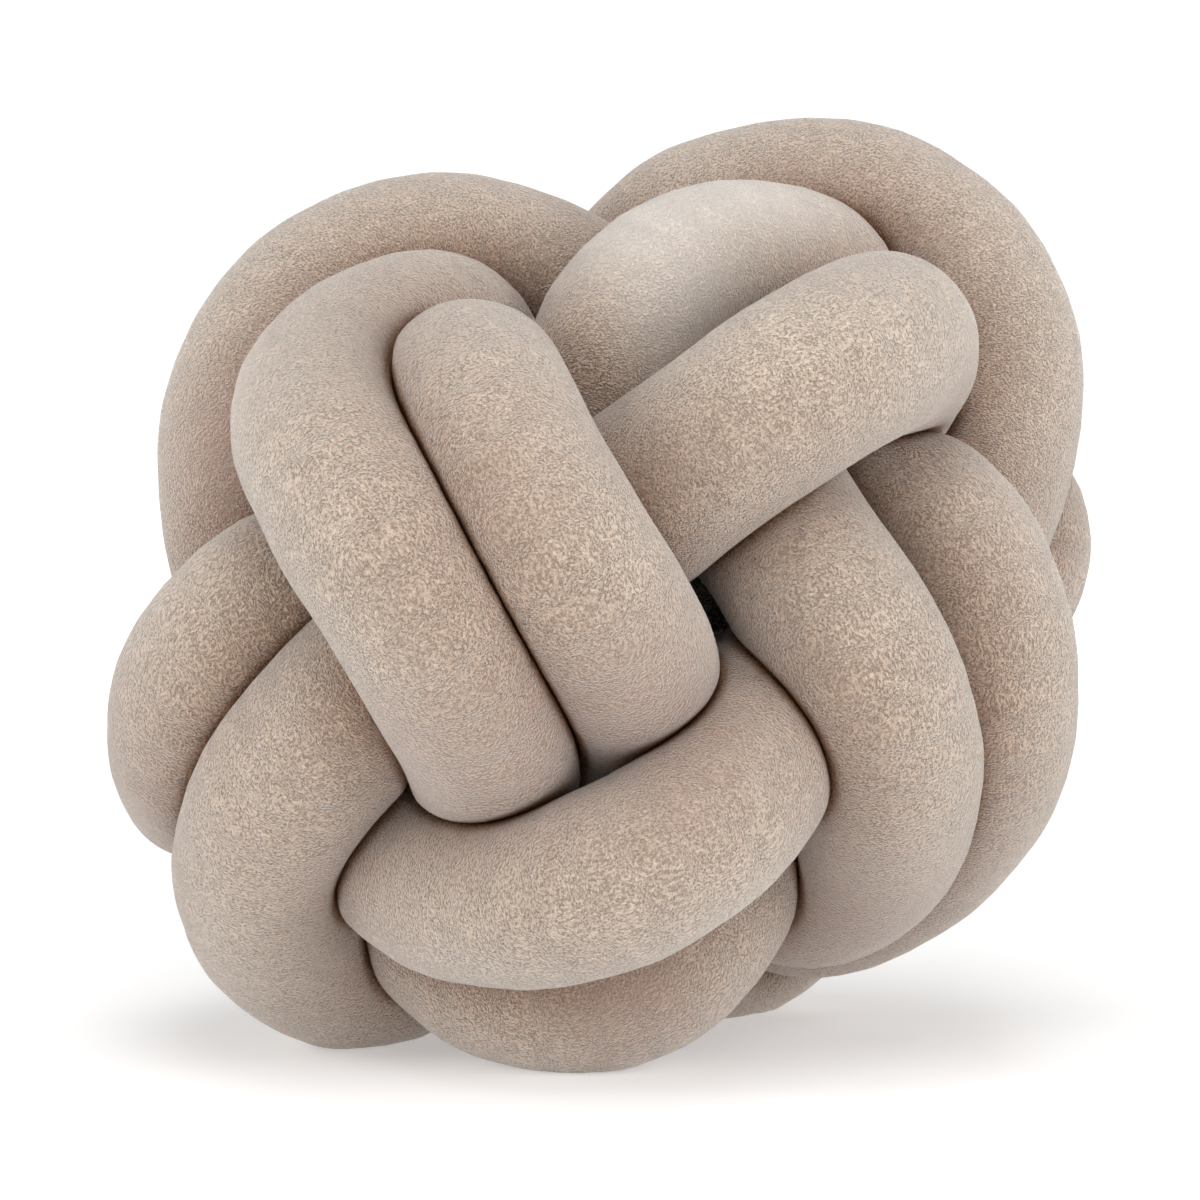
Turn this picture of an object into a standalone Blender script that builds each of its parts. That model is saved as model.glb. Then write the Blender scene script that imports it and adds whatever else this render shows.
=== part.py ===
"""Knot cushion: two long stuffed plush tubes, laid side by side and plaited into a ball.

The pair of tubes closes on itself after eight arcs. Seen from the front, four arcs (A, B, D, C)
turn like a pinwheel round a small square gap and four longer ones (G, F, E, K) loop round the
outside. Each arc dives under one neighbour, crests over the next and dives again.

The tables give the middle line of each tube in the front view's own axes, in millimetres:
x to the right, y up the view and z towards the viewer. The knot is then settled, so that no two
stretches lie too close, tipped back by the view's pitch and stood on the ground.
"""

import math

import bpy
import numpy as np

# Driving dimensions, in millimetres unless the name says otherwise.
TUBE_RADIUS = 27.0
TUBE_PITCH = 42.0
NEIGHBOUR_GAP = 1.1
GROUND_LEVEL = -137.3
GROUND_PRESS = 4.5
VIEW_PITCH_DEG = 4.0
CENTRE_X = 3.8
CENTRE_Y = 9.7

LINE_POINTS = 240
SETTLE_ROUNDS = 60
SETTLE_SMOOTH = 0.2
SETTLE_HOLD = 0.15
OWN_STRETCH = 63.0
SHORTEST_WAVE = 125.0
FAIRING_POWER = 8
SPLINE_POWER = 0.75
SPLINE_STEPS = 24

RINGS = 280
SIDES = 16
REACH_POINTS = 400
BEND_STRETCH = 70.0
BEND_MARGIN = 0.85
HERE = 3.0
LEAST_RADIUS = 1.0
CREASE_POWER = 20
NOTHING = 1e-6

MILLIMETRE = 0.001
PLUSH_COLOUR = (0.48, 0.38, 0.31, 1.0)
PLUSH_ROUGHNESS = 0.95

# The tube nearer the square gap: arc and place on it, x, y, z.
INNER_TUBE = (
    ("A foot", 5, -17, 84),
    ("A middle", -10, 13, 108),
    ("A rise", -31, 40, 98),
    ("A top", -42, 63, 62),
    ("A under F", -41, 38, 5),
    ("A to G", -37, 20, -58),
    ("G start", -6, 69, -90),
    ("G top left", 25, 115, -76),
    ("G top", 69, 118, -63),
    ("G corner", 104, 103, -50),
    ("G right", 125, 68, -42),
    ("G fall", 108, 25, -27),
    ("G under D", 85, -12, 0),
    ("C start", 50, -31, 42),
    ("C bend", 42, -55, 74),
    ("C middle", 5, -79, 88),
    ("C left", -31, -83, 64),
    ("C end", -56, -74, 30),
    ("C under E", -88, -28, 2),
    ("F start", -104, 18, 0),
    ("F left", -106, 55, -6),
    ("F corner", -90, 84, -25),
    ("F top", -52, 102, -40),
    ("F fall", -14, 89, -44),
    ("F under B", 30, 58, -18),
    ("D start", 53, 18, 36),
    ("D middle", 68, -16, 66),
    ("D right", 80, -48, 48),
    ("D fall", 77, -77, -2),
    ("D foot", 50, -88, -38),
    ("D under K", 5, -35, -38),
    ("D to E", -50, -42, -72),
    ("E foot", -54, -108, -42),
    ("E low", -81, -103, -12),
    ("E left", -92, -79, 27),
    ("E rise", -85, -49, 60),
    ("E under A", -54, -24, 66),
    ("B start", 5, 22, 62),
    ("B middle", 41, 50, 76),
    ("B rise", 66, 68, 72),
    ("B top", 83, 72, 38),
    ("B under G", 84, 70, -5),
    ("B to K", 70, 25, -55),
    ("K back", 76, -34, -102),
    ("K low back", 70, -86, -97),
    ("K bottom", 25, -105, -69),
    ("K under C", 0, -62, 2),
    ("K to A", 6, -28, 48),
)

# The tube farther from the square gap: arc and place on it, x, y, z.
OUTER_TUBE = (
    ("A foot", -38, -27, 74),
    ("A low", -46, -10, 102),
    ("A middle", -60, 11, 111),
    ("A rise", -72, 43, 85),
    ("A shoulder", -70, 59, 44),
    ("A top", -51, 68, 19),
    ("A over", -36, 68, -8),
    ("A under F", -54, 50, -50),
    ("G back left", -55, 36, -98),
    ("G back", -1, 31, -123),
    ("G back right", 64, 34, -110),
    ("G right", 134, 29, -76),
    ("G under D", 88, -30, -54),
    ("C start", 42, -58, -4),
    ("C right", 30, -97, 18),
    ("C bottom", -2, -116, 26),
    ("C left", -46, -99, 9),
    ("C under E", -78, -50, -30),
    ("F left", -104, 18, -48),
    ("F corner", -92, 76, -62),
    ("F top", -40, 68, -60),
    ("F under B", 6, 24, -32),
    ("D start", 62, 25, -4),
    ("D rise", 87, 32, 9),
    ("D shoulder", 108, -3, 21),
    ("D right", 114, -35, 18),
    ("D fall", 106, -61, -14),
    ("D low", 78, -87, -48),
    ("D foot", 47, -98, -62),
    ("D under K", 30, -55, -74),
    ("D to E", -16, -16, -90),
    ("E back", -80, -14, -96),
    ("E back left", -110, -43, -62),
    ("E left", -113, -50, -15),
    ("E rise", -117, -33, 30),
    ("E top", -98, -2, 42),
    ("E under A", -50, 6, 33),
    ("E to B", -8, 20, 18),
    ("B start", -1, 68, 17),
    ("B rise", 36, 95, -14),
    ("B top", 73, 96, -32),
    ("B under G", 64, 72, -70),
    ("B to K", 28, 10, -90),
    ("K back", -3, -35, -125),
    ("K low", -23, -67, -72),
    ("K under C", -42, -46, -10),
    ("K to A", -34, -48, 45),
)


def tipped(stations):
    """The stations in world axes: x right, y away from the viewer, z above the ground."""
    pitch = math.radians(VIEW_PITCH_DEG)
    x, y, z = np.array([row[1:] for row in stations], float).T
    away = y * math.sin(pitch) - z * math.cos(pitch)
    height = y * math.cos(pitch) + z * math.sin(pitch)
    return np.stack([x - CENTRE_X, away - CENTRE_Y, height - GROUND_LEVEL], axis=1)


def evenly(line, count):
    """count points spaced evenly along a closed line."""
    closed = np.vstack([line, line[:1]])
    steps = np.linalg.norm(np.diff(closed, axis=0), axis=1)
    along = np.concatenate([[0.0], np.cumsum(steps)])
    wanted = np.linspace(0.0, along[-1], count, endpoint=False)
    return np.stack([np.interp(wanted, along, axis) for axis in closed.T], axis=1)


def smooth_loop(points, count):
    """A closed cubic spline through the points, as count even points."""
    after = np.roll(points, -1, axis=0)
    span = np.linalg.norm(after - points, axis=1) ** SPLINE_POWER
    slope = (after - points) / span[:, None]
    size = len(points)
    matrix = np.zeros((size, size))
    for i in range(size):
        matrix[i, i - 1] += span[i - 1]
        matrix[i, i] += 2 * (span[i - 1] + span[i])
        matrix[i, (i + 1) % size] += span[i]
    bend = np.linalg.solve(matrix, 6 * (slope - np.roll(slope, 1, axis=0)))
    bend_after = np.roll(bend, -1, axis=0)
    pieces = []
    for part in np.linspace(0.0, 1.0, SPLINE_STEPS, endpoint=False):
        left = 1 - part
        straight = left * points + part * after
        curve = (left**3 - left) * bend + (part**3 - part) * bend_after
        pieces.append(straight + curve * span[:, None] ** 2 / 6)
    return evenly(np.stack(pieces, axis=1).reshape(-1, 3), count)


def apart_along(count_a, count_b, length):
    """Distances along one closed line between its count_a and its count_b even points."""
    place_a = np.arange(count_a) / count_a * length
    place_b = np.arange(count_b) / count_b * length
    distance = np.abs(place_a[:, None] - place_b[None])
    return np.minimum(distance, length - distance)


def length_of(line):
    return np.linalg.norm(np.roll(line, -1, axis=0) - line, axis=1).sum()


def settled(lines):
    """The lines after their stretches have pushed each other apart and sunk onto the ground."""
    drawn = [line.copy() for line in lines]
    count = len(lines[0])
    lowest = TUBE_RADIUS - GROUND_PRESS
    for _ in range(SETTLE_ROUNDS):
        eased = []
        for line, first in zip(lines, drawn):
            middle = (np.roll(line, 1, axis=0) + np.roll(line, -1, axis=0)) / 2
            line = line + SETTLE_SMOOTH * (middle - line)
            eased.append(line + SETTLE_HOLD * (first - line))
        points = np.vstack(eased)
        offset = points[:, None] - points[None]
        distance = np.linalg.norm(offset, axis=-1) + NOTHING
        touching = distance < TUBE_PITCH
        for i, line in enumerate(eased):
            own = slice(i * count, (i + 1) * count)
            near = apart_along(count, count, length_of(line)) < OWN_STRETCH
            touching[own, own] &= ~near
        share = np.where(touching, (TUBE_PITCH - distance) / distance, 0.0) / 2
        push = (share[..., None] * offset).sum(axis=1)
        points = points + push / np.maximum(touching.sum(axis=1), 1)[:, None]
        points[:, 2] = np.maximum(points[:, 2], lowest)
        lines = [points[:count], points[count:]]
    return [evenly(line, count) for line in lines]


def faired(line):
    """The line without its short wobbles, which the stiffness of a stuffed tube takes out."""
    waves = np.fft.rfftfreq(len(line), length_of(line) / len(line))
    kept = 1 / (1 + (waves * SHORTEST_WAVE) ** FAIRING_POWER)
    return np.fft.irfft(np.fft.rfft(line, axis=0) * kept[:, None], len(line), axis=0)


def reach_to(line, direction, other, gap, skipped=None, near=None):
    """How far each point of the line reaches along its direction before the other line is nearer."""
    offset = other[None] - line[:, None]
    ahead = np.einsum("ij,ikj->ik", direction, offset)
    reach = (offset**2).sum(axis=-1) / np.maximum(2 * ahead, NOTHING)
    reach[ahead < NOTHING] = np.inf
    if near is None:
        return (reach - gap / 2).min(axis=1)
    reach = np.where(near, reach * BEND_MARGIN, reach - gap / 2)
    reach[skipped] = np.inf
    return reach.min(axis=1)


def pressed(skin, lines, index):
    """The rings of one round tube, flattened where a neighbour or the ground is."""
    rings, sides = skin.shape[:2]
    line = skin.mean(axis=1)
    others = [evenly(other, REACH_POINTS) for other in lines]
    along = apart_along(rings, REACH_POINTS, length_of(line))
    near = along < BEND_STRETCH
    skipped = along < HERE
    flattened = np.empty_like(skin)
    for side in range(sides):
        direction = (skin[:, side] - line) / TUBE_RADIUS
        limit = np.full(rings, np.inf)
        for i, other in enumerate(others):
            if i == index:
                reach = reach_to(line, direction, other, NEIGHBOUR_GAP, skipped, near)
            else:
                reach = reach_to(line, direction, other, NEIGHBOUR_GAP)
            limit = np.minimum(limit, reach)
        limit = np.maximum(limit, LEAST_RADIUS)
        rounded = (TUBE_RADIUS**-CREASE_POWER + limit**-CREASE_POWER) ** (-1 / CREASE_POWER)
        down = np.maximum(-direction[:, 2], NOTHING)
        radius = np.minimum(rounded, line[:, 2] / down)
        flattened[:, side] = line + direction * radius[:, None]
    return flattened


def plush():
    material = bpy.data.materials.new("Beige plush")
    material.use_nodes = True
    shader = material.node_tree.nodes["Principled BSDF"]
    shader.inputs["Base Color"].default_value = PLUSH_COLOUR
    shader.inputs["Roughness"].default_value = PLUSH_ROUGHNESS
    shader.inputs["Metallic"].default_value = 0.0
    return material


def round_tube(name, line):
    """A closed round tube along the line, as a mesh of one ring of corners for each point."""
    curve = bpy.data.curves.new(name, "CURVE")
    curve.dimensions = "3D"
    curve.bevel_depth = TUBE_RADIUS * MILLIMETRE
    curve.bevel_resolution = SIDES // 2 - 2
    spline = curve.splines.new("POLY")
    spline.points.add(len(line) - 1)
    for point, place in zip(spline.points, line):
        point.co = (*(place * MILLIMETRE), 1.0)
    spline.use_cyclic_u = True
    guide = bpy.data.objects.new(name, curve)
    mesh = bpy.data.meshes.new_from_object(guide)
    bpy.data.objects.remove(guide)
    return mesh


def add_tube(name, lines, index, collection):
    """One stuffed tube: round, then pressed into its place in the knot."""
    mesh = round_tube(name, evenly(lines[index], RINGS))
    skin = np.array([corner.co for corner in mesh.vertices]).reshape(RINGS, SIDES, 3)
    skin = pressed(skin / MILLIMETRE, lines, index) * MILLIMETRE
    mesh.vertices.foreach_set("co", skin.ravel())
    mesh.update()
    mesh.materials.clear()
    mesh.materials.append(plush())
    collection.objects.link(bpy.data.objects.new(name, mesh))


def main():
    for item in list(bpy.data.objects):
        bpy.data.objects.remove(item, do_unlink=True)
    collection = bpy.data.collections.new("Knot cushion")
    bpy.context.scene.collection.children.link(collection)
    drawn = [smooth_loop(tipped(table), LINE_POINTS) for table in (INNER_TUBE, OUTER_TUBE)]
    lines = [faired(line) for line in settled(drawn)]
    for index, name in enumerate(("inner_tube", "outer_tube")):
        add_tube(name, lines, index, collection)


main()
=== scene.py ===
"""Knot cushion, dressed: two stuffed plush tubes plaited into a ball, on a white studio floor."""

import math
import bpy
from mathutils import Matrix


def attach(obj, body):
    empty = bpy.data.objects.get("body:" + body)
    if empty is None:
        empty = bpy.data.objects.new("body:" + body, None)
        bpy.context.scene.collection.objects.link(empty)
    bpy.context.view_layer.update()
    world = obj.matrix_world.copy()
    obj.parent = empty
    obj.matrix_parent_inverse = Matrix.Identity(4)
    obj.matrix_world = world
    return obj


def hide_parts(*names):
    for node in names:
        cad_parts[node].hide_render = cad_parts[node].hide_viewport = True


bl_info = {
    "name": "Knot Cushion",
    "version": (1, 0, 0),
    "blender": (4, 5, 0),
    "location": "View3D > Sidebar > Knot Cushion",
    "description": "Models a plush knot cushion over its packed solids, on a lit studio floor",
    "category": "Add Mesh",
}

import bmesh
import bpy
import numpy as np
from mathutils import Vector

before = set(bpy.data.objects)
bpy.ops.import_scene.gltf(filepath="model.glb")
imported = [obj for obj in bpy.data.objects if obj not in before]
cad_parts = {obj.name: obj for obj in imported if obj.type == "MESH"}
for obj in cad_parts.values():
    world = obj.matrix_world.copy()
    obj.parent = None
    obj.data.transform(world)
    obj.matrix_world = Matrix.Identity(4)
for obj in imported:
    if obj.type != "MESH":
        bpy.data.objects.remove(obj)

MILLIMETRE = 0.001
NOTHING = 1e-9

# The knot's place: the tables' origin, seen level, stands this far from the cushion's.
VIEW_PITCH = math.radians(4.0)
CENTRE = (0.0038, 0.0097)
GROUND_LEVEL = -0.1373

# How the drawn lines settle into a knot of stuffed tubes.
TUBE_PITCH = 0.042
GROUND_PRESS = 0.0045
LINE_POINTS = 240
SETTLE_ROUNDS = 60
SETTLE_SMOOTH = 0.2
SETTLE_HOLD = 0.15
OWN_STRETCH = 0.063
SHORTEST_WAVE = 0.125
FAIRING_POWER = 8
SPLINE_POWER = 0.75
SPLINE_STEPS = 24

# How a neighbour, a tight bend and the ground flatten a tube.
REACH_POINTS = 400
BEND_STRETCH = 0.070
BEND_MARGIN = 0.85
HERE = 0.003
LEAST_RADIUS = 0.001
CREASE_POWER = 24

# How far from a neighbour the painted shade of the creases reaches.
HOLLOW_POINTS = 300
HOLLOW_STRETCH = 0.090
HOLLOW_REACH = 0.018

# How much longer the curls of the pile are round a tube than along it.
FLOW_STRETCH = 1.8

# The pile's patterns: how many of their steps a metre holds.
CURLS = 2050
TUFTS = 2250
SWAYS = 300
BRUSH_MARKS = 140
PATCHES = 22

# How far the curls are bent out of line, round a tube and along it.
SWAY_REACH = (0.0006, 0.0006, 0.0012)

# What each pattern adds to the pile and its colour.
CURL_SHARE = 0.55
TUFT_SHARE = 0.45
BRUSH_SHARE = 0.1
PATCH_SHARE = 0.15
# SPOT_SHARE: how strongly the painted highlight and painted shade spots show.
SPOT_SHARE = 0.7

# Painted highlights: where the upper parts of the knot are painted paler, and how far that reaches.
PAINTED_HIGHLIGHT_SPOTS = (
    ((0.045, -0.004, 0.268), 0.058),
    ((0.006, -0.012, 0.246), 0.042),
    ((0.022, -0.030, 0.222), 0.038),
)

# Painted shade: where shaded parts of the tubes are painted darker and warmer, and how far that
# reaches.
PAINTED_SHADE_SPOTS = (
    ((-0.134, -0.022, 0.103), 0.055),
    ((0.010, -0.116, 0.112), 0.050),
    ((-0.042, -0.112, 0.106), 0.050),
    ((0.080, -0.040, 0.048), 0.050),
    ((0.005, -0.068, 0.021), 0.042),
    ((-0.114, -0.024, 0.185), 0.045),
)

# The stuffing's unevenness: waves of these lengths, laid over each other.
LUMP_SEED = 7
LUMP_WAVES = 30
LUMP_LENGTHS = (0.028, 0.070)

# The camera's frame is shifted down by this share of its width.
CAMERA_RISE = -0.0025

# The right softbox's power, set against the left one's.
RIGHT_SHARE = 1.2

# The floor's radius, the backdrop's curve and height, and the flats that stand in for a round.
FLOOR_REACH = 4.0
SWEEP_BEND = 0.8
SWEEP_HEIGHT = 2.2
ROUND_FLATS = 96
BEND_FLATS = 12

# Where the floor's own glow starts to grow, and where it is as bright as the backdrop.
GLOW_STARTS = 0.4
GLOW_FULL = 2.0

# The tube nearer the square gap: arc and place on it, x, y, z.
INNER_TUBE = (
    ("A foot", 5, -17, 84),
    ("A middle", -10, 13, 108),
    ("A rise", -31, 40, 98),
    ("A top", -42, 63, 62),
    ("A under F", -41, 38, 5),
    ("A to G", -37, 20, -58),
    ("G start", -6, 69, -90),
    ("G top left", 25, 115, -76),
    ("G top", 69, 118, -63),
    ("G corner", 104, 103, -50),
    ("G right", 125, 68, -42),
    ("G fall", 108, 25, -27),
    ("G under D", 85, -12, 0),
    ("C start", 50, -31, 42),
    ("C bend", 42, -55, 74),
    ("C middle", 5, -79, 88),
    ("C left", -31, -83, 64),
    ("C end", -56, -74, 30),
    ("C under E", -88, -28, 2),
    ("F start", -104, 18, 0),
    ("F left", -106, 55, -6),
    ("F corner", -90, 84, -25),
    ("F top", -52, 102, -40),
    ("F fall", -14, 89, -44),
    ("F under B", 30, 58, -18),
    ("D start", 53, 18, 36),
    ("D middle", 68, -16, 66),
    ("D right", 80, -48, 48),
    ("D fall", 77, -77, -2),
    ("D foot", 50, -88, -38),
    ("D under K", 5, -35, -38),
    ("D to E", -50, -42, -72),
    ("E foot", -54, -108, -42),
    ("E low", -81, -103, -12),
    ("E left", -92, -79, 27),
    ("E rise", -85, -49, 60),
    ("E under A", -54, -24, 66),
    ("B start", 5, 22, 62),
    ("B middle", 41, 50, 76),
    ("B rise", 66, 68, 72),
    ("B top", 83, 72, 38),
    ("B under G", 84, 70, -5),
    ("B to K", 70, 25, -55),
    ("K back", 76, -34, -102),
    ("K low back", 70, -86, -97),
    ("K bottom", 25, -105, -69),
    ("K under C", 0, -62, 2),
    ("K to A", 6, -28, 48),
)

# The tube farther from the square gap: arc and place on it, x, y, z.
OUTER_TUBE = (
    ("A foot", -38, -27, 74),
    ("A low", -46, -10, 102),
    ("A middle", -60, 11, 111),
    ("A rise", -72, 43, 85),
    ("A shoulder", -70, 59, 44),
    ("A top", -51, 68, 19),
    ("A over", -36, 68, -8),
    ("A under F", -54, 50, -50),
    ("G back left", -55, 36, -98),
    ("G back", -1, 31, -123),
    ("G back right", 64, 34, -110),
    ("G right", 134, 29, -76),
    ("G under D", 88, -30, -54),
    ("C start", 42, -58, -4),
    ("C right", 30, -97, 18),
    ("C bottom", -2, -116, 26),
    ("C left", -46, -99, 9),
    ("C under E", -78, -50, -30),
    ("F left", -104, 18, -48),
    ("F corner", -92, 76, -62),
    ("F top", -40, 68, -60),
    ("F under B", 6, 24, -32),
    ("D start", 62, 25, -4),
    ("D rise", 87, 32, 9),
    ("D shoulder", 108, -3, 21),
    ("D right", 114, -35, 18),
    ("D fall", 106, -61, -14),
    ("D low", 78, -87, -48),
    ("D foot", 47, -98, -62),
    ("D under K", 30, -55, -74),
    ("D to E", -16, -16, -90),
    ("E back", -80, -14, -96),
    ("E back left", -110, -43, -62),
    ("E left", -113, -50, -15),
    ("E rise", -117, -33, 30),
    ("E top", -98, -2, 42),
    ("E under A", -50, 6, 33),
    ("E to B", -8, 20, 18),
    ("B start", -1, 68, 17),
    ("B rise", 36, 95, -14),
    ("B top", 73, 96, -32),
    ("B under G", 64, 72, -70),
    ("B to K", 28, 10, -90),
    ("K back", -3, -35, -125),
    ("K low", -23, -67, -72),
    ("K under C", -42, -46, -10),
    ("K to A", -34, -48, 45),
)


class KnotSizes(bpy.types.PropertyGroup):
    """The sizes of the knotted tubes."""

    tube_radius: bpy.props.FloatProperty(
        name="Tube radius",
        description="Radius of a stuffed tube where nothing presses on it",
        default=0.027,
        unit="LENGTH",
    )
    neighbour_gap: bpy.props.FloatProperty(
        name="Gap",
        description="Gap left between the skins of two tubes that press on each other",
        default=0.0004,
        unit="LENGTH",
    )
    lump_depth: bpy.props.FloatProperty(
        name="Lumps",
        description="How far the stuffing's unevenness lifts or sinks the skin",
        default=0.0004,
        unit="LENGTH",
    )
    rings: bpy.props.IntProperty(
        name="Rings",
        description="Rings of corners along each tube",
        default=1300,
    )
    sides: bpy.props.IntProperty(
        name="Sides",
        description="Corners in each ring",
        default=64,
    )


class PlushFinish(bpy.types.PropertyGroup):
    """The colours and the pile of the plush."""

    tip_colour: bpy.props.FloatVectorProperty(
        name="Pile tips",
        description="Colour of the plush where its pile stands up",
        default=(0.77, 0.62, 0.50),
        subtype="COLOR",
    )
    root_colour: bpy.props.FloatVectorProperty(
        name="Pile roots",
        description="Colour of the plush between the tufts",
        default=(0.27, 0.20, 0.146),
        subtype="COLOR",
    )
    # Painted highlight: the colour painted on upper parts of the knot.
    painted_highlight_colour: bpy.props.FloatVectorProperty(
        name="Brushed pile",
        description="Pale colour where the pile is brushed up",
        default=(0.86, 0.80, 0.74),
        subtype="COLOR",
    )
    # Colour of the random soft patches, and also of the painted shade spots.
    blush_and_shade_colour: bpy.props.FloatVectorProperty(
        name="Blush",
        description="Warmer colour of the soft patches",
        default=(0.42, 0.29, 0.23),
        subtype="COLOR",
    )
    # Painted shade: the colour is multiplied by this in the creases between the tubes.
    crease_shade_tint: bpy.props.FloatVectorProperty(
        name="Hollow tint",
        description="What the plush's colour is multiplied by in its creases",
        default=(0.64, 0.49, 0.40),
        subtype="COLOR",
    )
    pile_depth: bpy.props.FloatProperty(
        name="Pile depth",
        description="Depth of the pile's relief",
        default=0.0007,
        unit="LENGTH",
    )
    sheen: bpy.props.FloatProperty(
        name="Sheen",
        description="Strength of the pale sheen at grazing angles",
        default=1.0,
    )


class StudioSetup(bpy.types.PropertyGroup):
    """The floor, the lights and the camera."""

    camera_distance: bpy.props.FloatProperty(
        name="Camera distance",
        description="Distance from the camera to the middle of the knot",
        default=1.485,
        unit="LENGTH",
    )
    lens: bpy.props.FloatProperty(
        name="Lens",
        description="Focal length in millimetres on a 36 mm sensor",
        default=148.5,
    )
    sky: bpy.props.FloatProperty(
        name="Sky",
        description="Strength of the white light from above the backdrop",
        default=0.15,
    )
    floor_glow: bpy.props.FloatProperty(
        name="Floor glow",
        description="Strength of the light from the floor, which is lit from below",
        default=0.32,
    )
    backdrop_glow: bpy.props.FloatProperty(
        name="Backdrop glow",
        description="Strength of the light from the backdrop",
        default=1.0,
    )
    overhead: bpy.props.FloatProperty(
        name="Overhead softbox",
        description="Power of the large softbox above the cushion",
        default=21.0,
        unit="POWER",
    )
    front: bpy.props.FloatProperty(
        name="Front softbox",
        description="Power of the softbox above and behind the camera",
        default=18.0,
        unit="POWER",
    )
    sides: bpy.props.FloatProperty(
        name="Side softboxes",
        description="Power of each of the softboxes to the left and the right",
        default=17.0,
        unit="POWER",
    )


def tipped(stations):
    """A table's points in metres: x right, y away from the viewer, z above the ground."""
    x, y, z = np.array([row[1:] for row in stations], float).T * MILLIMETRE
    away = y * math.sin(VIEW_PITCH) - z * math.cos(VIEW_PITCH)
    height = y * math.cos(VIEW_PITCH) + z * math.sin(VIEW_PITCH)
    return np.stack([x - CENTRE[0], away - CENTRE[1], height - GROUND_LEVEL], axis=1)


def evenly(line, count):
    """count points spaced evenly along a closed line."""
    closed = np.vstack([line, line[:1]])
    steps = np.linalg.norm(np.diff(closed, axis=0), axis=1)
    along = np.concatenate([[0.0], np.cumsum(steps)])
    wanted = np.linspace(0.0, along[-1], count, endpoint=False)
    return np.stack([np.interp(wanted, along, axis) for axis in closed.T], axis=1)


def smooth_loop(points, count):
    """A closed cubic spline through the points, as count even points."""
    after = np.roll(points, -1, axis=0)
    span = np.linalg.norm(after - points, axis=1) ** SPLINE_POWER
    slope = (after - points) / span[:, None]
    size = len(points)
    matrix = np.zeros((size, size))
    for i in range(size):
        matrix[i, i - 1] += span[i - 1]
        matrix[i, i] += 2 * (span[i - 1] + span[i])
        matrix[i, (i + 1) % size] += span[i]
    bend = np.linalg.solve(matrix, 6 * (slope - np.roll(slope, 1, axis=0)))
    bend_after = np.roll(bend, -1, axis=0)
    pieces = []
    for part in np.linspace(0.0, 1.0, SPLINE_STEPS, endpoint=False):
        left = 1 - part
        straight = left * points + part * after
        curve = (left**3 - left) * bend + (part**3 - part) * bend_after
        pieces.append(straight + curve * span[:, None] ** 2 / 6)
    return evenly(np.stack(pieces, axis=1).reshape(-1, 3), count)


def apart_along(count_a, count_b, length):
    """Distances along one closed line between its count_a and its count_b even points."""
    place_a = np.arange(count_a) / count_a * length
    place_b = np.arange(count_b) / count_b * length
    distance = np.abs(place_a[:, None] - place_b[None])
    return np.minimum(distance, length - distance)


def length_of(line):
    return np.linalg.norm(np.roll(line, -1, axis=0) - line, axis=1).sum()


def settled(lines, tube_radius):
    """The lines after their stretches have pushed each other apart and sunk onto the ground."""
    drawn = [line.copy() for line in lines]
    count = len(lines[0])
    for _ in range(SETTLE_ROUNDS):
        eased = []
        for line, first in zip(lines, drawn):
            middle = (np.roll(line, 1, axis=0) + np.roll(line, -1, axis=0)) / 2
            line = line + SETTLE_SMOOTH * (middle - line)
            eased.append(line + SETTLE_HOLD * (first - line))
        points = np.vstack(eased)
        offset = points[:, None] - points[None]
        distance = np.linalg.norm(offset, axis=-1) + NOTHING
        touching = distance < TUBE_PITCH
        for i, line in enumerate(eased):
            own = slice(i * count, (i + 1) * count)
            near = apart_along(count, count, length_of(line)) < OWN_STRETCH
            touching[own, own] &= ~near
        share = np.where(touching, (TUBE_PITCH - distance) / distance, 0.0) / 2
        push = (share[..., None] * offset).sum(axis=1)
        points = points + push / np.maximum(touching.sum(axis=1), 1)[:, None]
        points[:, 2] = np.maximum(points[:, 2], tube_radius - GROUND_PRESS)
        lines = [points[:count], points[count:]]
    return [evenly(line, count) for line in lines]


def faired(line):
    """The line without its short wobbles, which the stiffness of a stuffed tube takes out."""
    waves = np.fft.rfftfreq(len(line), length_of(line) / len(line))
    kept = 1 / (1 + (waves * SHORTEST_WAVE) ** FAIRING_POWER)
    return np.fft.irfft(np.fft.rfft(line, axis=0) * kept[:, None], len(line), axis=0)


def reach_to(line, direction, other, gap, skipped=None, near=None):
    """How far each point of the line reaches along its direction before the other line is nearer."""
    offset = other[None] - line[:, None]
    ahead = np.einsum("ij,ikj->ik", direction, offset)
    reach = (offset**2).sum(axis=-1) / np.maximum(2 * ahead, NOTHING)
    reach[ahead < NOTHING] = np.inf
    if near is None:
        return (reach - gap / 2).min(axis=1)
    reach = np.where(near, reach * BEND_MARGIN, reach - gap / 2)
    reach[skipped] = np.inf
    return reach.min(axis=1)


def lumps(points):
    """The stuffing's unevenness at each point, from -1 to 1."""
    waves = np.random.default_rng(LUMP_SEED)
    total = np.zeros(points.shape[:-1])
    for _ in range(LUMP_WAVES):
        heading = waves.normal(size=3)
        heading /= np.linalg.norm(heading)
        turns = 2 * math.pi * (points @ heading) / waves.uniform(*LUMP_LENGTHS)
        total += np.sin(turns + waves.uniform(0, 2 * math.pi))
    return total / math.sqrt(LUMP_WAVES)


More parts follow.
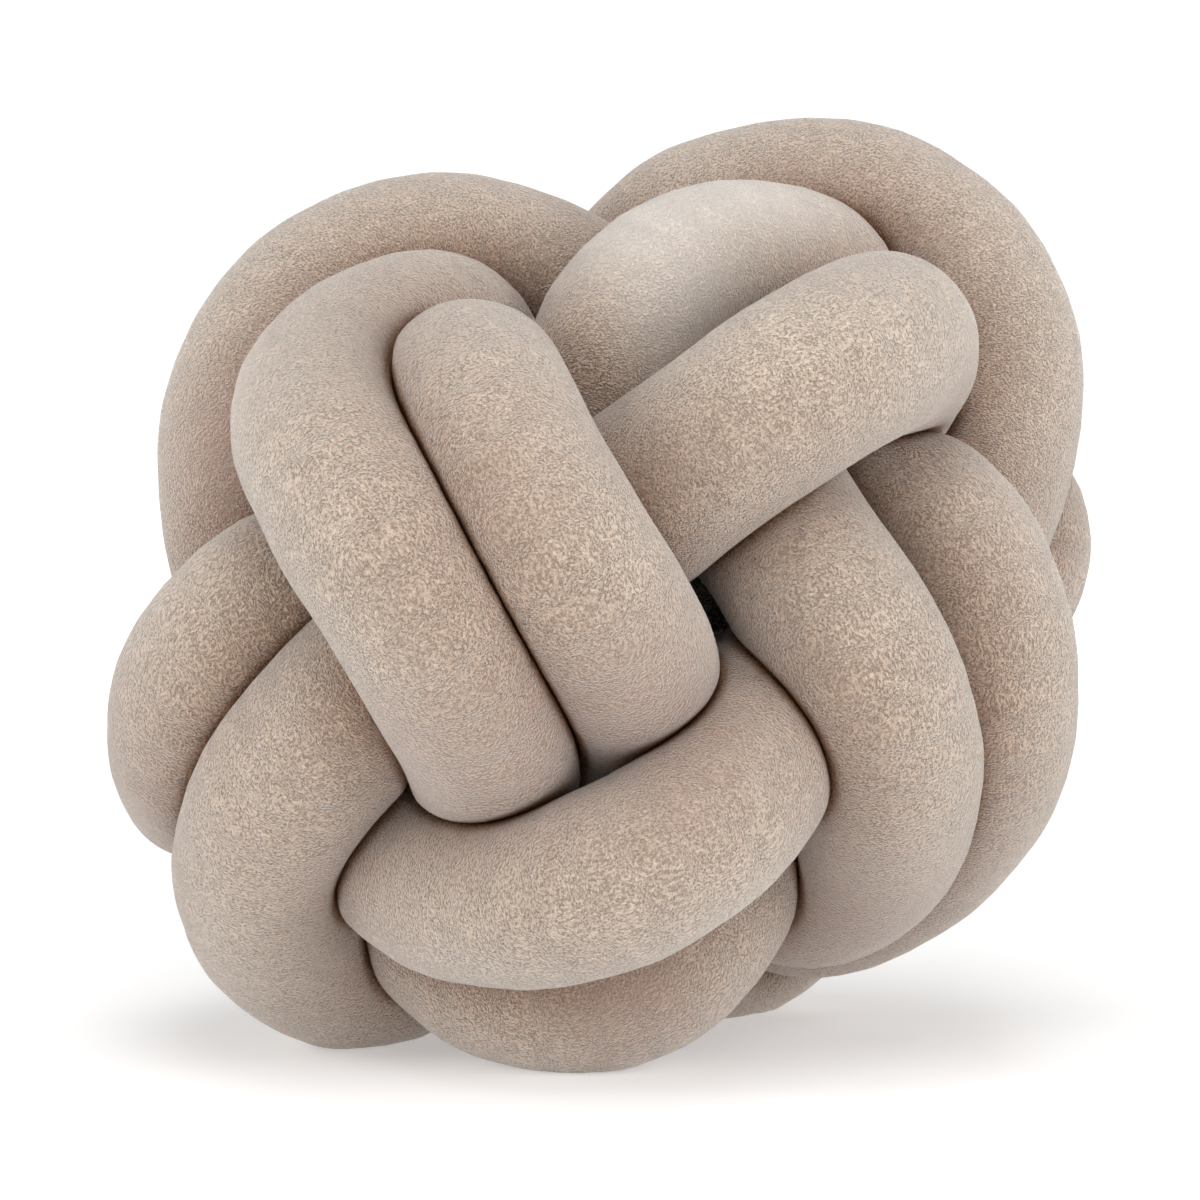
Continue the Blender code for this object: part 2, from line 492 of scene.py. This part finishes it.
def hollows(skin, lines, index, radius):
    """How deep each point of a skin lies beside other stretches: 0 in the open, 1 in a crease. It
    masks the painted shade of the creases.
    """
    rings = skin.shape[0]
    own = evenly(lines[index], rings)
    nearest = np.full(skin.shape[:2], np.inf)
    for i, other in enumerate(lines):
        marks = evenly(other, HOLLOW_POINTS)
        if i == index:
            near = apart_along(rings, HOLLOW_POINTS, length_of(own)) < HOLLOW_STRETCH
        for side in range(skin.shape[1]):
            gap = np.linalg.norm(skin[:, side, None] - marks[None], axis=-1)
            if i == index:
                gap[near] = np.inf
            nearest[:, side] = np.minimum(nearest[:, side], gap.min(axis=1))
    return np.exp(-np.maximum(nearest - radius, 0.0) / HOLLOW_REACH)


def flows(skin, length, radius):
    """Each point of a tube's skin as on a straight, thinner tube, so that a pattern runs round it."""
    rings, sides = skin.shape[:2]
    middle = np.array([0.0, 0.0, -GROUND_LEVEL])
    hidden = np.linalg.norm(skin.mean(axis=1) - middle, axis=1).argmin()
    turn = 2 * math.pi * np.arange(sides) / sides
    flow = np.empty_like(skin)
    flow[..., 0] = radius / FLOW_STRETCH * np.cos(turn)
    flow[..., 1] = radius / FLOW_STRETCH * np.sin(turn)
    flow[..., 2] = (np.roll(np.arange(rings), hidden) * length / rings)[:, None]
    return flow


def pressed(skin, lines, index, sizes):
    """The rings of one round tube, flattened where a neighbour or the ground is."""
    rings, sides = skin.shape[:2]
    radius = sizes.tube_radius
    line = skin.mean(axis=1)
    others = [evenly(other, REACH_POINTS) for other in lines]
    along = apart_along(rings, REACH_POINTS, length_of(line))
    near = along < BEND_STRETCH
    skipped = along < HERE
    flattened = np.empty_like(skin)
    for side in range(sides):
        direction = (skin[:, side] - line) / radius
        limit = np.full(rings, np.inf)
        for i, other in enumerate(others):
            if i == index:
                reach = reach_to(line, direction, other, sizes.neighbour_gap, skipped, near)
            else:
                reach = reach_to(line, direction, other, sizes.neighbour_gap)
            limit = np.minimum(limit, reach)
        limit = np.maximum(limit, LEAST_RADIUS)
        free = radius + sizes.lump_depth * lumps(skin[:, side])
        rounded = (free**-CREASE_POWER + limit**-CREASE_POWER) ** (-1 / CREASE_POWER)
        down = np.maximum(-direction[:, 2], NOTHING)
        flattened[:, side] = line + direction * np.minimum(rounded, line[:, 2] / down)[:, None]
    return flattened


def round_tube(name, line, radius, sides):
    """A closed round tube along the line, as a mesh of one ring of corners for each point."""
    curve = bpy.data.curves.new(name, "CURVE")
    curve.dimensions = "3D"
    curve.bevel_depth = radius
    curve.bevel_resolution = sides // 2 - 2
    spline = curve.splines.new("POLY")
    spline.points.add(len(line) - 1)
    for point, place in zip(spline.points, line):
        point.co = (*place, 1.0)
    spline.use_cyclic_u = True
    guide = bpy.data.objects.new(name, curve)
    mesh = bpy.data.meshes.new_from_object(guide)
    bpy.data.objects.remove(guide)
    return mesh


class Value:
    """A number that varies over a surface, so that a shader's maths reads as Python."""

    def __init__(self, shader, socket):
        self.shader = shader
        self.socket = socket

    def __add__(self, other):
        return self.shader.maths("ADD", self, other)

    def __mul__(self, other):
        return self.shader.maths("MULTIPLY", self, other)

    __radd__ = __add__
    __rmul__ = __mul__


class Shader:
    """A material's or a world's nodes."""

    def __init__(self, owner):
        owner.use_nodes = True
        self.tree = owner.node_tree
        self.tree.nodes.clear()

    def node(self, kind, inputs=None, **settings):
        """Adds a node, sets its settings, then gives its sockets their values or links."""
        added = self.tree.nodes.new("ShaderNode" + kind)
        for setting, value in settings.items():
            setattr(added, setting, value)
        for socket, value in (inputs or {}).items():
            if isinstance(value, Value):
                self.tree.links.new(value.socket, added.inputs[socket])
            else:
                added.inputs[socket].default_value = value
        return added

    def value(self, kind, output, inputs=None, **settings):
        """The named output of a new node."""
        return Value(self, self.node(kind, inputs, **settings).outputs[output])

    def maths(self, operation, *values):
        return self.value("Math", "Value", dict(enumerate(values)), operation=operation)

    def vector(self, operation, *values):
        return self.value("VectorMath", "Vector", dict(enumerate(values)), operation=operation)

    def between(self, share, first, second, blend="MIX"):
        """The first colour where share is 0, blended with the second where it is 1."""
        colours = {"Factor": share, 6: first, 7: second}
        mix = self.node("Mix", colours, data_type="RGBA", blend_type=blend)
        return Value(self, mix.outputs[2])

    def noise(self, place, scale, output="Fac"):
        return self.value("TexNoise", output, {"Vector": place, "Scale": scale, "Detail": 0.0})

    def spread(self, value, low, high):
        """value from low to high as 0 to 1, eased at both ends."""
        ends = {"Value": value, "From Min": low, "From Max": high}
        return self.value("MapRange", "Result", ends, interpolation_type="SMOOTHSTEP")


def make_plush():
    """Short, dense pile: pale curls over darker roots and soft patches, with painted highlights up
    top, painted shade in spots, and browner painted shade in the creases, where a sheen-less copy is
    mixed in.
    """
    finish = bpy.context.scene.plush_finish
    material = bpy.data.materials.new("Plush")
    shader = Shader(material)
    place = shader.value("TexCoord", "Object")
    flow = shader.value("Attribute", "Vector", attribute_name="flow")
    sway = shader.noise(flow, SWAYS, output="Color")
    sway = shader.vector("SUBTRACT", sway, (0.5, 0.5, 0.5))
    bent = shader.vector("ADD", flow, shader.vector("MULTIPLY", sway, SWAY_REACH))
    curls = shader.spread(shader.noise(bent, CURLS), 0.36, 0.64)
    tufts = shader.spread(shader.noise(place, TUFTS), 0.36, 0.64)
    pile = curls * CURL_SHARE + tufts * TUFT_SHARE
    patches = shader.spread(shader.noise(place, PATCHES), 0.4, 0.7)
    brushed = shader.spread(shader.noise(place, BRUSH_MARKS), 0.25, 0.75)
    lit = pile * (1 - BRUSH_SHARE) + brushed * BRUSH_SHARE
    colour = shader.between(lit, (*finish.root_colour, 1.0), (*finish.tip_colour, 1.0))
    colour = shader.between(patches * PATCH_SHARE, colour, (*finish.blush_and_shade_colour, 1.0))
    # Painted highlights near the top and painted shade on shaded parts, spot by spot.
    for spots, painted_light_colour in ((PAINTED_HIGHLIGHT_SPOTS, finish.painted_highlight_colour), (PAINTED_SHADE_SPOTS, finish.blush_and_shade_colour)):
        for spot, reach in spots:
            away = shader.value("VectorMath", "Value", {0: place, 1: spot}, operation="DISTANCE")
            share = shader.spread(away, reach, 0.0) * SPOT_SHARE
            colour = shader.between(share, colour, (*painted_light_colour, 1.0))
    # Painted shade: the colour is made darker and browner in the creases between the tubes.
    crease_shade_mask = shader.value("Attribute", "Fac", attribute_name="crease_shade_mask")
    shade = shader.between(crease_shade_mask, colour, (*finish.crease_shade_tint, 1.0), "MULTIPLY")
    bump = {"Height": pile, "Distance": finish.pile_depth, "Strength": 1.0}
    normal = shader.value("Bump", "Normal", bump)
    open_pile = {
        "Base Color": shade,
        "Roughness": 0.6,
        "Normal": normal,
        "Specular IOR Level": 0.5,
        "Sheen Weight": finish.sheen,
        "Sheen Roughness": 0.36,
        "Sheen Tint": (1.0, 0.98, 0.95, 1.0),
    }
    # A shaded copy of the plush, without sheen or gloss, is mixed in at the creases as painted shade.
    crease_shaded_pile = {"Base Color": shade, "Roughness": 1.0, "Normal": normal, "Specular IOR Level": 0.0}
    skins = {
        0: shader.spread(crease_shade_mask, 0.8, 1.0),
        1: shader.value("BsdfPrincipled", "BSDF", open_pile),
        2: shader.value("BsdfPrincipled", "BSDF", crease_shaded_pile),
    }
    shader.node("OutputMaterial", {"Surface": shader.value("MixShader", "Shader", skins)})
    return material


def make_tube(name, index, node):
    """One stuffed plush tube in place of the solid node, its skin eased by its neighbours."""
    sizes = bpy.context.scene.knot_sizes
    drawn = [smooth_loop(tipped(table), LINE_POINTS) for table in (INNER_TUBE, OUTER_TUBE)]
    lines = [faired(line) for line in settled(drawn, sizes.tube_radius)]
    line = evenly(lines[index], sizes.rings)
    mesh = round_tube(name, line, sizes.tube_radius, sizes.sides)
    skin = np.empty(len(mesh.vertices) * 3)
    mesh.vertices.foreach_get("co", skin)
    skin = pressed(skin.reshape(sizes.rings, sizes.sides, 3), lines, index, sizes)
    mesh.vertices.foreach_set("co", skin.ravel())
    mesh.update()
    mesh.shade_smooth()
    # The mask of the painted crease shade, stored on the skin's points.
    depth = hollows(skin, lines, index, sizes.tube_radius)
    mesh.attributes.new("crease_shade_mask", "FLOAT", "POINT").data.foreach_set("value", depth.ravel())
    along = flows(skin, length_of(line), sizes.tube_radius)
    mesh.attributes.new("flow", "FLOAT_VECTOR", "POINT").data.foreach_set("vector", along.ravel())
    mesh.materials.clear()
    mesh.materials.append(bpy.data.materials.get("Plush") or make_plush())
    tube = bpy.data.objects.new(name, mesh)
    bpy.context.scene.collection.objects.link(tube)
    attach(tube, "root")
    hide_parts(node)


def make_camera(setup):
    """A camera in front, looking down a little as the photograph does."""
    data = bpy.data.cameras.new("Camera")
    data.sensor_width = 36.0
    data.lens = setup.lens
    data.shift_y = CAMERA_RISE
    data.clip_end = 50.0
    camera = bpy.data.objects.new("Camera", data)
    bpy.context.scene.collection.objects.link(camera)
    back = Vector((0.0, -math.cos(VIEW_PITCH), math.sin(VIEW_PITCH))) * setup.camera_distance
    camera.location = Vector((-CENTRE[0], -CENTRE[1], -GROUND_LEVEL)) + back
    camera.rotation_euler = (math.pi / 2 - VIEW_PITCH, 0.0, 0.0)
    bpy.context.scene.camera = camera


def grey(level):
    return (level, level, level, 1.0)


def studio_white(name, shade, glow):
    """Matt white paint, lit from behind: by glow near the cushion, fully far from it."""
    material = bpy.data.materials.new(name)
    shader = Shader(material)
    place = shader.value("TexCoord", "Object")
    speckle = shader.spread(shader.noise(place, 3.0), 0.3, 0.7)
    white = shader.between(speckle, grey(shade), grey(shade * 1.02))
    reach = shader.value("VectorMath", "Value", {0: place}, operation="LENGTH")
    far = shader.spread(reach, GLOW_STARTS, GLOW_FULL)
    paint = {
        "Base Color": white,
        "Roughness": 0.9,
        "Specular IOR Level": 0.1,
        "Emission Color": shader.between(far, grey(glow), grey(1.0)),
        "Emission Strength": 1.0,
    }
    shader.node("OutputMaterial", {"Surface": shader.value("BsdfPrincipled", "BSDF", paint)})
    return material


def add_stage(name, shape, material):
    """Puts a finished bmesh into the scene as a piece of the studio."""
    mesh = bpy.data.meshes.new(name)
    shape.to_mesh(mesh)
    shape.free()
    mesh.shade_smooth()
    mesh.materials.append(material)
    stage = bpy.data.objects.new(name, mesh)
    bpy.context.scene.collection.objects.link(stage)


def make_floor(setup):
    """A plain white floor, lit a little from below."""
    disc = bmesh.new()
    bmesh.ops.create_circle(disc, cap_ends=True, radius=FLOOR_REACH, segments=ROUND_FLATS)
    add_stage("Floor", disc, studio_white("White floor", 0.8, setup.floor_glow))


def make_backdrop(setup):
    """A lit white wall round the floor, which curves up from its edge."""
    profile = bmesh.new()
    foot = profile.verts.new((FLOOR_REACH, 0.0, 0.0))
    bend = bmesh.ops.spin(
        profile,
        geom=[foot],
        cent=(FLOOR_REACH, 0.0, SWEEP_BEND),
        axis=(0.0, -1.0, 0.0),
        angle=math.pi / 2,
        steps=BEND_FLATS,
    )
    top = [part for part in bend["geom_last"] if isinstance(part, bmesh.types.BMVert)][0]
    rise = bmesh.ops.extrude_vert_indiv(profile, verts=[top])["verts"]
    bmesh.ops.translate(profile, verts=rise, vec=(0.0, 0.0, SWEEP_HEIGHT - SWEEP_BEND))
    bmesh.ops.spin(
        profile,
        geom=profile.verts[:] + profile.edges[:],
        cent=(0.0, 0.0, 0.0),
        axis=(0.0, 0.0, 1.0),
        angle=2 * math.pi,
        steps=ROUND_FLATS,
        use_merge=True,
    )
    bmesh.ops.remove_doubles(profile, verts=profile.verts, dist=1e-5)
    bmesh.ops.recalc_face_normals(profile, faces=profile.faces)
    add_stage("Backdrop", profile, studio_white("Lit backdrop", 0.1, setup.backdrop_glow))


def light_surround(setup):
    """White light from all round, brighter from above."""
    world = bpy.data.worlds.new("Surround")
    shader = Shader(world)
    heading = shader.value("TexCoord", "Generated")
    height = shader.value("SeparateXYZ", "Z", {"Vector": heading})
    rise = shader.spread(height, -0.3, 1.0)
    colour = shader.between(rise, (0.97, 0.97, 0.98, 1.0), grey(1.0))
    light = {"Color": colour, "Strength": setup.sky}
    shader.node("OutputWorld", {"Surface": shader.value("Background", "Background", light)})
    bpy.context.scene.world = world


def add_softbox(name, place, size, power):
    """A square soft light that faces the cushion's middle."""
    data = bpy.data.lights.new(name, "AREA")
    data.shape = "SQUARE"
    data.size = size
    data.energy = power
    light = bpy.data.objects.new(name, data)
    bpy.context.scene.collection.objects.link(light)
    light.location = place
    aim = Vector((0.0, 0.0, -GROUND_LEVEL)) - light.location
    light.rotation_euler = aim.to_track_quat("-Z", "Y").to_euler()


class KNOT_OT_inner_tube(bpy.types.Operator):
    """Add the plush tube nearer the square gap"""

    bl_idname = "knot.inner_tube"
    bl_label = "Inner Tube"

    def execute(self, context):
        make_tube("inner_plush_tube", 0, "inner_tube")
        return {"FINISHED"}


class KNOT_OT_outer_tube(bpy.types.Operator):
    """Add the plush tube laid beside the first"""

    bl_idname = "knot.outer_tube"
    bl_label = "Outer Tube"

    def execute(self, context):
        make_tube("outer_plush_tube", 1, "outer_tube")
        return {"FINISHED"}


class KNOT_OT_stage(bpy.types.Operator):
    """Add the white floor, the soft lights and the camera"""

    bl_idname = "knot.stage"
    bl_label = "Studio"

    def execute(self, context):
        setup = context.scene.studio_setup
        make_camera(setup)
        make_floor(setup)
        make_backdrop(setup)
        light_surround(setup)
        add_softbox("Overhead softbox", (0.0, -0.05, 2.4), 1.5, setup.overhead)
        add_softbox("Front softbox", (0.0, -1.5, 2.0), 1.2, setup.front)
        add_softbox("Left softbox", (-2.0, -1.0, 1.0), 1.2, setup.sides)
        add_softbox("Right softbox", (2.0, -1.0, 1.0), 1.2, setup.sides * RIGHT_SHARE)
        context.scene.view_settings.view_transform = "Standard"
        return {"FINISHED"}


class KNOT_PT_panel(bpy.types.Panel):
    """Sizes, finish and buttons for the knot cushion"""

    bl_idname = "KNOT_PT_panel"
    bl_label = "Knot Cushion"
    bl_space_type = "VIEW_3D"
    bl_region_type = "UI"
    bl_category = "Knot Cushion"

    def draw(self, context):
        scene = context.scene
        for group in (scene.knot_sizes, scene.plush_finish, scene.studio_setup):
            box = self.layout.box()
            for setting in group.bl_rna.properties:
                if not setting.is_readonly and setting.identifier != "name":
                    box.prop(group, setting.identifier)
        for operator in (KNOT_OT_inner_tube, KNOT_OT_outer_tube, KNOT_OT_stage):
            self.layout.operator(operator.bl_idname)


CLASSES = (
    KnotSizes,
    PlushFinish,
    StudioSetup,
    KNOT_OT_inner_tube,
    KNOT_OT_outer_tube,
    KNOT_OT_stage,
    KNOT_PT_panel,
)


def register():
    for cls in CLASSES:
        bpy.utils.register_class(cls)
    bpy.types.Scene.knot_sizes = bpy.props.PointerProperty(type=KnotSizes)
    bpy.types.Scene.plush_finish = bpy.props.PointerProperty(type=PlushFinish)
    bpy.types.Scene.studio_setup = bpy.props.PointerProperty(type=StudioSetup)


def unregister():
    del bpy.types.Scene.knot_sizes
    del bpy.types.Scene.plush_finish
    del bpy.types.Scene.studio_setup
    for cls in reversed(CLASSES):
        bpy.utils.unregister_class(cls)


def main():
    register()
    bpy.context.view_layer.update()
    bpy.ops.knot.inner_tube()
    bpy.ops.knot.outer_tube()
    bpy.ops.knot.stage()


if __name__ == "__main__":
    main()
